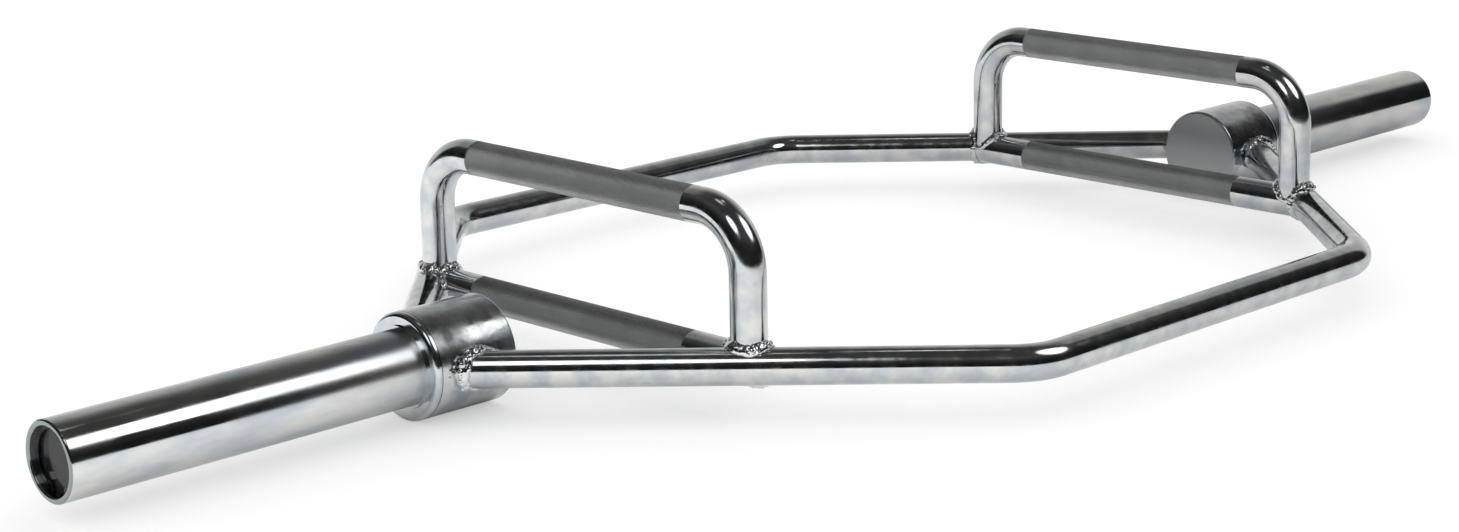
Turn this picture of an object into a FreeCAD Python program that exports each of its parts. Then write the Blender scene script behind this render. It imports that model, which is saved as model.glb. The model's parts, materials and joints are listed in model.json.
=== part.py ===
import FreeCAD, Part
import math
import os

import Sketcher

# Hex trap bar: a welded lifting frame of bent round bars with a plate sleeve that turns at each end.
# +Z is up and +X runs along the bar. The origin is on the floor, below the middle of the bar.
# The hubs stand on the floor, so the sleeve axis lies one hub radius above it.
# Sizes are in millimetres and angles in degrees.

SIZES = (
    ("bar_length", 1400, "over the two sleeve mouths"),
    ("rail_diameter", 24, "round bar of both rails"),
    ("rail_drop", 1.6, "sleeve axis down to the middle of the rails and grips"),
    ("rail_half_width", 289, "sleeve axis to the middle of a rail's long run"),
    ("rail_corner_setback", 208, "hub's inner face back to a corner of the hexagon"),
    ("rail_meeting_reach", 66, "hub's inner face on to where the slanted runs would cross the sleeve axis"),
    ("rail_bend_radius", 45, "middle line of the corner bends"),
    ("grip_diameter", 24, "round bar of the lower grips"),
    ("grip_setback", 89, "hub's inner face back to the middle of the grip"),
    ("handle_diameter", 24, "round bar of the raised handles"),
    ("handle_inset", 10.5, "middle of a rail to the middle of the upright beside it, along the grip"),
    ("handle_rise", 95, "lower grip to raised bar, middle to middle"),
    ("handle_bend_radius", 38, "middle line of the handle bends"),
    ("weld_leg", 5, "reach of a weld bead along each bar"),
    ("weld_parting_depth", 2, "top of the bars down to where the handle welds meet the grip welds"),
    ("hub_diameter", 70, "outside of the hubs"),
    ("hub_length", 60, "hub along the bar"),
    ("hub_floor", 10, "steel between the axle's end and the hub's inner face"),
    ("hub_edge_round", 2, "rounding of the hub's inner edge"),
    ("running_gap", 0.5, "hub face to flange"),
    ("sleeve_diameter", 50, "outside of the sleeves, for plates with a large bore"),
    ("sleeve_bore", 40, "inside of the sleeves"),
    ("sleeve_load_length", 251, "flange face to sleeve mouth"),
    ("mouth_bore", 42, "wider bore at the sleeve mouth"),
    ("mouth_recess", 5, "sleeve mouth to the end circlip"),
    ("mouth_round", 1.5, "rounding of the sleeve mouth's outer edge"),
    ("mouth_inner_round", 1.2, "rounding of the sleeve mouth's inner edge"),
    ("flange_diameter", 70, "outside of the stop flange"),
    ("flange_thickness", 4.5, "stop flange along the bar"),
    ("flange_round", 3.2, "rounding of the flange's outer edge"),
    ("flange_seat_depth", 1, "depth to which the sleeve is turned down under the flange, with a sloped end"),
    ("flange_step_diameter", 54, "small step in front of the flange"),
    ("flange_step_length", 1.7, "small step along the bar"),
    ("end_disc_thickness", 3, "disc in the sleeve mouth"),
    ("end_disc_clearance", 0.1, "disc edge to the mouth bore"),
    ("end_clip_thickness", 1.75, "end circlip along the bar"),
    ("end_clip_groove", 1.25, "depth of the end circlip's groove"),
    ("end_clip_band", 3.5, "radial width of the end circlip"),
    ("end_clip_lug_diameter", 5.8, "lugs of the end circlip"),
    ("end_clip_lug_reach", 1.7, "mouth bore to the middle of a lug"),
    ("axle_diameter", 30, "stub axle"),
    ("axle_end_room", 4, "axle end to the end disc"),
    ("axle_end_land", 3, "axle past its circlip"),
    ("axle_clip_thickness", 2, "axle circlip along the bar"),
    ("axle_clip_groove", 1, "depth of the axle circlip's groove"),
    ("axle_clip_band", 4, "radial width of the axle circlip"),
    ("axle_clip_lug_diameter", 4.5, "lugs of the axle circlip"),
    ("axle_clip_lug_reach", 2, "axle surface to the middle of a lug"),
    ("clip_opening", 40, "angle that the circlips leave open"),
    ("clip_lug_angle", 27.5, "middle of the opening to the middle of a lug"),
    ("clip_lug_hole", 2.5, "plier holes in the lugs"),
    ("bushing_length", 40, "bushings along the bar"),
    ("bushing_clearance", 0.05, "axle to bushing, on the radius"),
    ("washer_thickness", 3, "thrust and retaining washers"),
    ("washer_clearance", 0.3, "washers to the axle and to the sleeve bore, on the radius"),
    ("axial_play", 0.2, "bushings to washers"),
)

# Places along the bar, from the middle outwards, and radii, as expressions of the sizes.
AXIS_HEIGHT = "(Sizes.hub_diameter / 2)"
RAIL_HEIGHT = f"({AXIS_HEIGHT} - Sizes.rail_drop)"
MOUTH_X = "(Sizes.bar_length / 2)"
FLANGE_FRONT_X = f"({MOUTH_X} - Sizes.sleeve_load_length)"
FLANGE_STEP_X = f"({FLANGE_FRONT_X} + Sizes.flange_step_length)"
FLANGE_SEAT_X = f"({FLANGE_STEP_X} - Sizes.flange_seat_depth)"
FLANGE_BACK_X = f"({FLANGE_FRONT_X} - Sizes.flange_thickness)"
HUB_OUTER_X = f"({FLANGE_BACK_X} - Sizes.running_gap)"
HUB_INNER_X = f"({HUB_OUTER_X} - Sizes.hub_length)"
AXLE_START_X = f"({HUB_INNER_X} + Sizes.hub_floor)"
END_CLIP_OUTER_X = f"({MOUTH_X} - Sizes.mouth_recess)"
END_CLIP_INNER_X = f"({END_CLIP_OUTER_X} - Sizes.end_clip_thickness)"
END_DISC_INNER_X = f"({END_CLIP_INNER_X} - Sizes.end_disc_thickness)"
AXLE_END_X = f"({END_DISC_INNER_X} - Sizes.axle_end_room)"
AXLE_CLIP_OUTER_X = f"({AXLE_END_X} - Sizes.axle_end_land)"
AXLE_CLIP_INNER_X = f"({AXLE_CLIP_OUTER_X} - Sizes.axle_clip_thickness)"
RETAINER_INNER_X = f"({AXLE_CLIP_INNER_X} - Sizes.washer_thickness)"
OUTER_BUSHING_END_X = f"({RETAINER_INNER_X} - Sizes.axial_play)"
OUTER_BUSHING_START_X = f"({OUTER_BUSHING_END_X} - Sizes.bushing_length)"
THRUST_OUTER_X = f"({HUB_OUTER_X} + Sizes.washer_thickness)"
INNER_BUSHING_START_X = f"({THRUST_OUTER_X} + Sizes.axial_play)"
INNER_BUSHING_END_X = f"({INNER_BUSHING_START_X} + Sizes.bushing_length)"

HUB_R = "(Sizes.hub_diameter / 2)"
AXLE_R = "(Sizes.axle_diameter / 2)"
AXLE_GROOVE_R = f"({AXLE_R} - Sizes.axle_clip_groove)"
SLEEVE_R = "(Sizes.sleeve_diameter / 2)"
SLEEVE_BORE_R = "(Sizes.sleeve_bore / 2)"
MOUTH_BORE_R = "(Sizes.mouth_bore / 2)"
MOUTH_GROOVE_R = f"({MOUTH_BORE_R} + Sizes.end_clip_groove)"
MOUTH_ROUND_LIMIT = f"(0.45 * ({SLEEVE_R} - {MOUTH_BORE_R}))"
FLANGE_R = "(Sizes.flange_diameter / 2)"
FLANGE_SEAT_R = f"({SLEEVE_R} - Sizes.flange_seat_depth)"
FLANGE_STEP_R = "(Sizes.flange_step_diameter / 2)"
END_DISC_R = f"({MOUTH_BORE_R} - Sizes.end_disc_clearance)"
BUSHING_R = f"({AXLE_R} + Sizes.bushing_clearance)"
WASHER_INNER_R = f"({AXLE_R} + Sizes.washer_clearance)"
WASHER_OUTER_R = f"({SLEEVE_BORE_R} - Sizes.washer_clearance)"

# A slanted run ends inside the hub, one bar radius below the hub's surface.
RAIL_END_Y = "((Sizes.hub_diameter - Sizes.rail_diameter) / 2)"
RAIL_SLANT = "((Sizes.rail_meeting_reach + Sizes.rail_corner_setback) / Sizes.rail_half_width)"
RAIL_CORNER_X = f"({HUB_INNER_X} - Sizes.rail_corner_setback)"
RAIL_END_X = f"({HUB_INNER_X} + Sizes.rail_meeting_reach - {RAIL_SLANT} * {RAIL_END_Y})"
GRIP_X = f"({HUB_INNER_X} - Sizes.grip_setback)"
GRIP_HALF_LENGTH = f"((Sizes.rail_meeting_reach + Sizes.grip_setback) / {RAIL_SLANT})"
HANDLE_HALF_SPAN = f"({GRIP_HALF_LENGTH} - Sizes.handle_inset)"

TOLERANCE = 1e-4
UP = FreeCAD.Vector(0, 0, 1)
UPRIGHT = FreeCAD.Rotation()
HALF_TURN = FreeCAD.Rotation(UP, 180)
ALONG_X = FreeCAD.Rotation(FreeCAD.Vector(0, 1, 0), 90)
ALONG_Y = FreeCAD.Rotation(FreeCAD.Vector(1, 0, 0), -90)
SIDES = {"left": -1, "right": 1}

doc = FreeCAD.newDocument("HexTrapBar")
sheet = doc.addObject("Spreadsheet::Sheet", "Sizes")
for row, (alias, size, note) in enumerate(SIZES, start=1):
    sheet.set(f"A{row}", alias)
    sheet.set(f"B{row}", str(size))
    sheet.setAlias(f"B{row}", alias)
    sheet.set(f"C{row}", note)
doc.recompute()

nodes = []


def value(expression):
    """The number that an expression of the sizes gives."""
    return float(sheet.evalExpression(expression))


def tie(item, **expressions):
    """Bind properties of an object to expressions; a double underscore stands for a dot."""
    for name, expression in expressions.items():
        item.setExpression(name.replace("__", "."), expression)


def set_turn(item, rotation):
    """Turn an object without moving it."""
    item.Placement = FreeCAD.Placement(item.Placement.Base, rotation)


def keep(item, name):
    """Make an object one of the bar's own pieces, under its own name."""
    item.Label = name
    nodes.append(item)
    return item


def new_sketch(body, plane_role, name):
    """An empty sketch on one of a body's origin planes."""
    sketch = body.newObject("Sketcher::SketchObject", f"{body.Name}_{name}")
    plane = next(item for item in body.Origin.OriginFeatures if item.Role == plane_role)
    sketch.AttachmentSupport = [(plane, "")]
    sketch.MapMode = "FlatFace"
    return sketch


def pin_point(sketch, element, point, across, up):
    """Hold a point of a sketch at two expressions, measured from the sketch's origin."""
    for kind, axis, expression in (("DistanceX", -2, across), ("DistanceY", -1, up)):
        if expression == "0":
            sketch.addConstraint(Sketcher.Constraint("PointOnObject", element, point, axis))
        else:
            limit = Sketcher.Constraint(kind, -1, 1, element, point, value(expression))
            sketch.setExpression(f"Constraints[{sketch.addConstraint(limit)}]", expression)


def outline_sketch(body, corners):
    """A closed outline of straight sides through (along the bar, radius) corners."""
    sketch = new_sketch(body, "XZ_Plane", "outline")
    points = [FreeCAD.Vector(value(along), value(radius), 0) for along, radius in corners]
    for start, end in zip(points, points[1:] + points[:1]):
        sketch.addGeometry(Part.LineSegment(start, end))
    for index, (along, radius) in enumerate(corners):
        before = (index - 1) % len(corners)
        sketch.addConstraint(Sketcher.Constraint("Coincident", before, 2, index, 1))
        pin_point(sketch, index, 1, along, radius)
    return sketch


def ring_edge(shape, along, radius):
    """The name of the circular edge of a turned shape at a place along the bar and a radius."""
    for index, edge in enumerate(shape.Edges, start=1):
        if isinstance(edge.Curve, Part.Circle):
            offset = abs(edge.Curve.Center.x - value(along)) + abs(edge.Curve.Radius - value(radius))
            if offset < TOLERANCE:
                return f"Edge{index}"
    raise ValueError(f"no edge at {along}, {radius}")


def turned(name, side, corners, rounds=()):
    """A piece turned round the sleeve axis, with some of its edges rounded."""
    body = doc.addObject("PartDesign::Body", name)
    sketch = outline_sketch(body, corners)
    piece = body.newObject("PartDesign::Revolution", f"{body.Name}_turned")
    piece.Profile = sketch
    piece.ReferenceAxis = (sketch, ["H_Axis"])
    piece.Angle = 360
    doc.recompute()
    for along, radius, size in rounds:
        edge = ring_edge(piece.Shape, along, radius)
        base = piece
        piece = body.newObject("PartDesign::Fillet", f"{body.Name}_round")
        piece.Base = (base, [edge])
        tie(piece, Radius=size)
        doc.recompute()
    set_turn(body, UPRIGHT if SIDES[side] > 0 else HALF_TURN)
    tie(body, Placement__Base__z=AXIS_HEIGHT)
    return keep(body, name)


def ring_corners(start, end, inner, outer):
    """The outline of a plain ring."""
    return ((start, inner), (start, outer), (end, outer), (end, inner))


def half_path(body, plane_role, rise, corner, end, bend_radius):
    """Half of a bent bar's middle line: a level run from the mirror plane, one bend and a second run."""
    sketch = new_sketch(body, plane_role, "path")
    knee = FreeCAD.Vector(value(corner), value(rise), 0)
    tip = FreeCAD.Vector(value(end[0]), value(end[1]), 0)
    radius = value(bend_radius)
    turn = math.atan2(knee.y - tip.y, tip.x - knee.x)
    reach = radius * math.tan(turn / 2)
    bend_start = knee - FreeCAD.Vector(reach, 0, 0)
    bend_end = knee + (tip - knee).normalize() * reach
    circle = Part.Circle(bend_start - FreeCAD.Vector(0, radius, 0), UP, radius)
    quarter = math.pi / 2
    level = sketch.addGeometry(Part.LineSegment(FreeCAD.Vector(0, knee.y, 0), bend_start))
    bend = sketch.addGeometry(Part.ArcOfCircle(circle, quarter - turn, quarter))
    slant = sketch.addGeometry(Part.LineSegment(bend_end, tip))
    mark = sketch.addGeometry(Part.Point(knee), True)
    sketch.addConstraint(Sketcher.Constraint("PointOnObject", level, 1, -2))
    sketch.addConstraint(Sketcher.Constraint("Horizontal", level))
    sketch.addConstraint(Sketcher.Constraint("Tangent", level, 2, bend, 2))
    sketch.addConstraint(Sketcher.Constraint("Tangent", bend, 1, slant, 1))
    size = sketch.addConstraint(Sketcher.Constraint("Radius", bend, radius))
    sketch.setExpression(f"Constraints[{size}]", bend_radius)
    sketch.addConstraint(Sketcher.Constraint("PointOnObject", mark, 1, level))
    sketch.addConstraint(Sketcher.Constraint("PointOnObject", mark, 1, slant))
    pin_point(sketch, mark, 1, corner, rise)
    pin_point(sketch, slant, 2, *end)
    return sketch


def bent_bar(name, planes, rise, corner, end, bend_radius, diameter):
    """A round bar with two like bends: half of it is swept, then mirrored.

    The planes are those of the path and of the section, and the section's plane is the mirror.
    """
    path_plane, section_plane = planes
    body = doc.addObject("PartDesign::Body", name)
    section = new_sketch(body, section_plane, "section")
    across, up = (rise, "0") if path_plane == "XY_Plane" else ("0", rise)
    middle = FreeCAD.Vector(value(across), value(up), 0)
    section.addGeometry(Part.Circle(middle, UP, value(diameter) / 2))
    pin_point(section, 0, 3, across, up)
    size = section.addConstraint(Sketcher.Constraint("Diameter", 0, value(diameter)))
    section.setExpression(f"Constraints[{size}]", diameter)
    path = half_path(body, path_plane, rise, corner, end, bend_radius)
    doc.recompute()
    half = body.newObject("PartDesign::AdditivePipe", f"{body.Name}_half")
    half.Profile = section
    half.Spine = (path, ["Edge1", "Edge2", "Edge3"])
    doc.recompute()
    whole = body.newObject("PartDesign::Mirrored", f"{body.Name}_whole")
    whole.Originals = [half]
    whole.MirrorPlane = (next(item for item in body.Origin.OriginFeatures if item.Role == section_plane), [""])
    body.Tip = whole
    return body


def rail_bar(name, side, diameter):
    """A rail before it is cut to fit the hubs; the front one is the rear one turned half round."""
    body = bent_bar(
        name,
        ("XY_Plane", "YZ_Plane"),
        "Sizes.rail_half_width",
        RAIL_CORNER_X,
        (RAIL_END_X, RAIL_END_Y),
        "Sizes.rail_bend_radius",
        diameter,
    )
    set_turn(body, UPRIGHT if side == "rear" else HALF_TURN)
    tie(body, Placement__Base__z=RAIL_HEIGHT)
    return body


def handle_bar(name, side, diameter):
    """A raised handle before its uprights are cut to fit the bars that they stand on."""
    body = bent_bar(
        name,
        ("YZ_Plane", "XZ_Plane"),
        "Sizes.handle_rise",
        HANDLE_HALF_SPAN,
        (HANDLE_HALF_SPAN, "0"),
        "Sizes.handle_bend_radius",
        diameter,
    )
    tie(body, Placement__Base__x=f"{SIDES[side]} * {GRIP_X}", Placement__Base__z=RAIL_HEIGHT)
    return body


def grip_bar(name, side, diameter):
    """A lower grip before its ends are cut to fit the rails: it runs from rail middle to rail middle."""
    bar = doc.addObject("Part::Cylinder", name)
    set_turn(bar, ALONG_Y)
    tie(bar, Radius=f"{diameter} / 2", Height=f"2 * {GRIP_HALF_LENGTH}")
    tie(bar, Placement__Base__x=f"{SIDES[side]} * {GRIP_X}", Placement__Base__y=f"-{GRIP_HALF_LENGTH}")
    tie(bar, Placement__Base__z=RAIL_HEIGHT)
    return bar


def hub_blank(name, side, radius):
    """A plain cylinder over a hub's length."""
    start = HUB_INNER_X if SIDES[side] > 0 else f"-{HUB_OUTER_X}"
    blank = doc.addObject("Part::Cylinder", name)
    set_turn(blank, ALONG_X)
    tie(blank, Radius=radius, Height="Sizes.hub_length")
    tie(blank, Placement__Base__x=start, Placement__Base__z=AXIS_HEIGHT)
    return blank


def upper_space(name):
    """The space over the frame where the handle welds lie, down to where they meet the grip welds."""
    space = doc.addObject("Part::Box", name)
    tie(space, Length="Sizes.bar_length", Width="4 * Sizes.rail_half_width", Height="Sizes.handle_rise")
    tie(space, Placement__Base__x="-Sizes.bar_length / 2", Placement__Base__y="-2 * Sizes.rail_half_width")
    tie(space, Placement__Base__z=f"{RAIL_HEIGHT} + Sizes.rail_diameter / 2 - Sizes.weld_parting_depth")
    return space


def cut(name, base, *tools):
    """A shape with other shapes taken out of it, one after the other."""
    for step, tool in enumerate(tools, start=1):
        piece = doc.addObject("Part::Cut", f"{name}_cut_{step}")
        piece.Base = base
        piece.Tool = tool
        base = piece
    return base


def common(name, base, tool):
    """What two shapes have in common."""
    piece = doc.addObject("Part::Common", name)
    piece.Base = base
    piece.Tool = tool
    return piece


def group(name, *items):
    """Several shapes as one, side by side."""
    gathered = doc.addObject("Part::Compound", name)
    gathered.Links = list(items)
    return gathered


def disc(name, radius, thickness, around="0", turn="0"):
    """A flat disc square to local Z, its middle at a radius and an angle from local X."""
    plate = doc.addObject("Part::Cylinder", name)
    tie(plate, Radius=radius, Height=thickness)
    tie(plate, Placement__Base__x=f"{around} * cos({turn} * 1 deg)")
    tie(plate, Placement__Base__y=f"{around} * sin({turn} * 1 deg)")
    return plate


def circlip(name, side, start, thickness, radii, lug):
    """An open spring ring with two pierced lugs beside its opening, which points down."""
    inner, outer = radii
    lug_radius, lug_place = lug
    ring = disc(f"{name}_blank", outer, thickness)
    tie(ring, Angle="360 - Sizes.clip_opening")
    set_turn(ring, FreeCAD.Rotation(UP, value("Sizes.clip_opening") / 2))
    band = cut(f"{name}_band", ring, disc(f"{name}_bore", inner, thickness))
    clip = band
    for sign in ("", "-"):
        angle = f"({sign}Sizes.clip_lug_angle)"
        ear = disc(f"{name}_ear", lug_radius, thickness, lug_place, angle)
        hole = disc(f"{name}_hole", "Sizes.clip_lug_hole / 2", thickness, lug_place, angle)
        joined = doc.addObject("Part::Fuse", f"{name}_joined")
        joined.Base = clip
        joined.Tool = ear
        clip = cut(f"{name}_pierced", joined, hole)
    outwards = FreeCAD.Placement(FreeCAD.Vector(), ALONG_X)
    turn = FreeCAD.Placement(FreeCAD.Vector(), UPRIGHT if SIDES[side] > 0 else HALF_TURN)
    clip.Placement = turn.multiply(outwards)
    tie(clip, Placement__Base__x=f"{SIDES[side]} * {start}", Placement__Base__z=AXIS_HEIGHT)
    return keep(clip, name)


def build_hub_end(side):
    """A hub, the axle fixed in it and what keeps the sleeve on that axle."""
    turned(
        f"{side}_hub",
        side,
        (
            (HUB_INNER_X, "0"),
            (HUB_INNER_X, HUB_R),
            (HUB_OUTER_X, HUB_R),
            (HUB_OUTER_X, AXLE_R),
            (AXLE_START_X, AXLE_R),
            (AXLE_START_X, "0"),
        ),
        ((HUB_INNER_X, HUB_R, "Sizes.hub_edge_round"),),
    )
    turned(
        f"{side}_axle",
        side,
        (
            (AXLE_START_X, "0"),
            (AXLE_START_X, AXLE_R),
            (AXLE_CLIP_INNER_X, AXLE_R),
            (AXLE_CLIP_INNER_X, AXLE_GROOVE_R),
            (AXLE_CLIP_OUTER_X, AXLE_GROOVE_R),
            (AXLE_CLIP_OUTER_X, AXLE_R),
            (AXLE_END_X, AXLE_R),
            (AXLE_END_X, "0"),
        ),
    )
    washers = (("thrust", HUB_OUTER_X, THRUST_OUTER_X), ("retaining", RETAINER_INNER_X, AXLE_CLIP_INNER_X))
    for washer, start, end in washers:
        turned(f"{side}_{washer}_washer", side, ring_corners(start, end, WASHER_INNER_R, WASHER_OUTER_R))
    circlip(
        f"{side}_axle_circlip",
        side,
        AXLE_CLIP_INNER_X,
        "Sizes.axle_clip_thickness",
        (AXLE_GROOVE_R, f"({AXLE_GROOVE_R} + Sizes.axle_clip_band)"),
        ("Sizes.axle_clip_lug_diameter / 2", f"({AXLE_R} + Sizes.axle_clip_lug_reach)"),
    )


def build_sleeve(side):
    """A sleeve with its flange, bushings and the disc that closes its mouth."""
    turned(
        f"{side}_sleeve",
        side,
        (
            (FLANGE_BACK_X, SLEEVE_BORE_R),
            (FLANGE_BACK_X, FLANGE_SEAT_R),
            (FLANGE_SEAT_X, FLANGE_SEAT_R),
            (FLANGE_STEP_X, SLEEVE_R),
            (MOUTH_X, SLEEVE_R),
            (MOUTH_X, MOUTH_BORE_R),
            (END_CLIP_OUTER_X, MOUTH_BORE_R),
            (END_CLIP_OUTER_X, MOUTH_GROOVE_R),
            (END_CLIP_INNER_X, MOUTH_GROOVE_R),
            (END_CLIP_INNER_X, MOUTH_BORE_R),
            (END_DISC_INNER_X, MOUTH_BORE_R),
            (END_DISC_INNER_X, SLEEVE_BORE_R),
        ),
        (
            (MOUTH_X, SLEEVE_R, f"min(Sizes.mouth_round; {MOUTH_ROUND_LIMIT})"),
            (MOUTH_X, MOUTH_BORE_R, f"min(Sizes.mouth_inner_round; {MOUTH_ROUND_LIMIT})"),
        ),
    )
    turned(
        f"{side}_sleeve_flange",
        side,
        (
            (FLANGE_BACK_X, FLANGE_SEAT_R),
            (FLANGE_BACK_X, FLANGE_R),
            (FLANGE_FRONT_X, FLANGE_R),
            (FLANGE_FRONT_X, FLANGE_STEP_R),
            (FLANGE_STEP_X, FLANGE_STEP_R),
            (FLANGE_STEP_X, SLEEVE_R),
            (FLANGE_SEAT_X, FLANGE_SEAT_R),
        ),
        ((FLANGE_FRONT_X, FLANGE_R, "Sizes.flange_round"),),
    )
    bushings = (
        ("inner", INNER_BUSHING_START_X, INNER_BUSHING_END_X),
        ("outer", OUTER_BUSHING_START_X, OUTER_BUSHING_END_X),
    )
    for place, start, end in bushings:
        turned(f"{side}_{place}_bushing", side, ring_corners(start, end, BUSHING_R, SLEEVE_BORE_R))
    turned(f"{side}_end_disc", side, ring_corners(END_DISC_INNER_X, END_CLIP_INNER_X, "0", END_DISC_R))
    circlip(
        f"{side}_end_circlip",
        side,
        END_CLIP_INNER_X,
        "Sizes.end_clip_thickness",
        (f"({MOUTH_GROOVE_R} - Sizes.end_clip_band)", MOUTH_GROOVE_R),
        ("Sizes.end_clip_lug_diameter / 2", f"({MOUTH_BORE_R} - Sizes.end_clip_lug_reach)"),
    )


def build_frame():
    """The rails, grips and handles, each cut to fit what it is welded to, and the weld beads."""
    weld = "2 * Sizes.weld_leg"
    blanks = {side: hub_blank(f"{side}_hub_blank", side, HUB_R) for side in SIDES}
    rails = []
    rail_reaches = []
    for side in ("front", "rear"):
        bar = rail_bar(f"{side}_rail_bar", side, "Sizes.rail_diameter")
        rails.append(keep(cut(f"{side}_rail", bar, *blanks.values()), f"{side}_rail"))
        rail_reaches.append(rail_bar(f"{side}_rail_reach", side, f"(Sizes.rail_diameter + {weld})"))
    rail_reach = group("rail_reach", *rail_reaches)
    handle_weld_space = upper_space("handle_weld_space")
    for side in SIDES:
        bar = grip_bar(f"{side}_grip_bar", side, "Sizes.grip_diameter")
        grip = keep(cut(f"{side}_lower_grip", bar, *rails), f"{side}_lower_grip")
        bar = handle_bar(f"{side}_handle_bar", side, "Sizes.handle_diameter")
        handle = keep(cut(f"{side}_raised_handle", bar, *rails, grip), f"{side}_raised_handle")
        hub_reach = hub_blank(f"{side}_hub_reach", side, f"{HUB_R} + Sizes.weld_leg")
        handle_reach = handle_bar(f"{side}_handle_reach", side, f"(Sizes.handle_diameter + {weld})")
        grip_reach = grip_bar(f"{side}_grip_reach", side, f"(Sizes.grip_diameter + {weld})")
        # A bead fills the space that lies within one weld leg of both of the bars it joins.
        hub_beads = common(f"{side}_hub_beads", hub_reach, rail_reach)
        keep(cut(f"{side}_hub_welds", hub_beads, blanks[side], *rails), f"{side}_hub_welds")
        grip_beads = common(f"{side}_grip_beads", grip_reach, rail_reach)
        grip_welds = cut(f"{side}_grip_welds", grip_beads, *rails, grip, handle, handle_weld_space)
        keep(grip_welds, f"{side}_grip_welds")
        handle_beads = common(f"{side}_handle_beads", handle_reach, rail_reach)
        handle_welds = cut(f"{side}_handle_welds", handle_beads, *rails, grip, handle, grip_welds)
        keep(handle_welds, f"{side}_handle_welds")


def check_document():
    """Stop if any object failed, or if a piece has no sound solid."""
    for item in doc.Objects:
        if "Invalid" in item.State or "Error" in item.State:
            raise RuntimeError(f"{item.Label} did not build: {item.State}")
    for item in nodes:
        shape = item.Shape
        if shape.isNull() or not shape.isValid() or not shape.Solids:
            raise RuntimeError(f"{item.Label} has no sound solid")


def write_pieces():
    """Write each piece to a file of its own and report its size."""
    os.makedirs("parts", exist_ok=True)
    for item in nodes:
        item.Shape.exportStep(f"parts/{item.Label}.step")
        box = item.Shape.optimalBoundingBox()
        print(f"{item.Label}: {len(item.Shape.Solids)} solids, {item.Shape.Volume:.0f} mm3, "
              f"x {box.XMin:.1f} to {box.XMax:.1f}, y {box.YMin:.1f} to {box.YMax:.1f}, "
              f"z {box.ZMin:.1f} to {box.ZMax:.1f}")


build_frame()
for side in SIDES:
    build_hub_end(side)
    build_sleeve(side)
doc.recompute()
check_document()
write_pieces()
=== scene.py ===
"""Looks of the hex trap bar: knurled grips, weld beads, plated finishes and the studio round it."""

import json
import logging
import math
import random
from abc import ABC, abstractmethod
from collections.abc import Callable, Iterable
from dataclasses import dataclass
from enum import Enum, IntEnum
from itertools import chain

import bmesh
import bpy
from bmesh.types import BMEdge, BMesh, BMVert
from bpy.types import Material, Node, NodeSocket, NodeTree, Object
from mathutils import Matrix, Vector

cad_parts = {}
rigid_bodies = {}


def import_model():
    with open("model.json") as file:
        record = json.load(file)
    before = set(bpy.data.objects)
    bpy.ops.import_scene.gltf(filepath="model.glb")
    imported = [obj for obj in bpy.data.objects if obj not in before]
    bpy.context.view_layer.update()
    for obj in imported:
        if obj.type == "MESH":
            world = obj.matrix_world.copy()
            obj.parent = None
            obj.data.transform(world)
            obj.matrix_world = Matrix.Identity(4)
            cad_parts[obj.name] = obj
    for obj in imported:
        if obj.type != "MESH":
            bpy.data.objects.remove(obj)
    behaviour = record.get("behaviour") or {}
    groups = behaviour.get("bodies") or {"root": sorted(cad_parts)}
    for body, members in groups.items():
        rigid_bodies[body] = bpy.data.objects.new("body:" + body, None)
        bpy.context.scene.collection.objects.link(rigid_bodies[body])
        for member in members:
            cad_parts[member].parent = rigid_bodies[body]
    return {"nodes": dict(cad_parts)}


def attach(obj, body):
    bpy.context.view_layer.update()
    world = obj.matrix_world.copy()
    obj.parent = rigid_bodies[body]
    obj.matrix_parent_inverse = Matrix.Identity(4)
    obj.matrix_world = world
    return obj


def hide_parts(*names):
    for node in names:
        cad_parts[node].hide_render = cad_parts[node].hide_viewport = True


for startup_object in list(bpy.data.objects):
    bpy.data.objects.remove(startup_object)
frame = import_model()

LOG = logging.getLogger("hex_trap_bar")
MM = 0.001
UP = Vector((0, 0, 1))
ALONG_BAR = Vector((1, 0, 0))
ACROSS_BAR = Vector((0, 1, 0))
Colour = tuple[float, float, float, float]
WHITE: Colour = (1, 1, 1, 1)


class Labelled(Enum):
    """Options whose names are words in the node names."""

    @property
    def label(self) -> str:
        """The option's word in the node names."""
        return self.name.lower()


class Side(Labelled):
    """The two ends of the bar, with the sign of their place along X."""

    LEFT = -1
    RIGHT = 1


class Run(Labelled):
    """The two rails, with the sign of their place along Y."""

    FRONT = -1
    REAR = 1


class Skin(IntEnum):
    """The faces' material numbers on a bar."""

    PLAIN = 0
    KNURLED = 1


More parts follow.
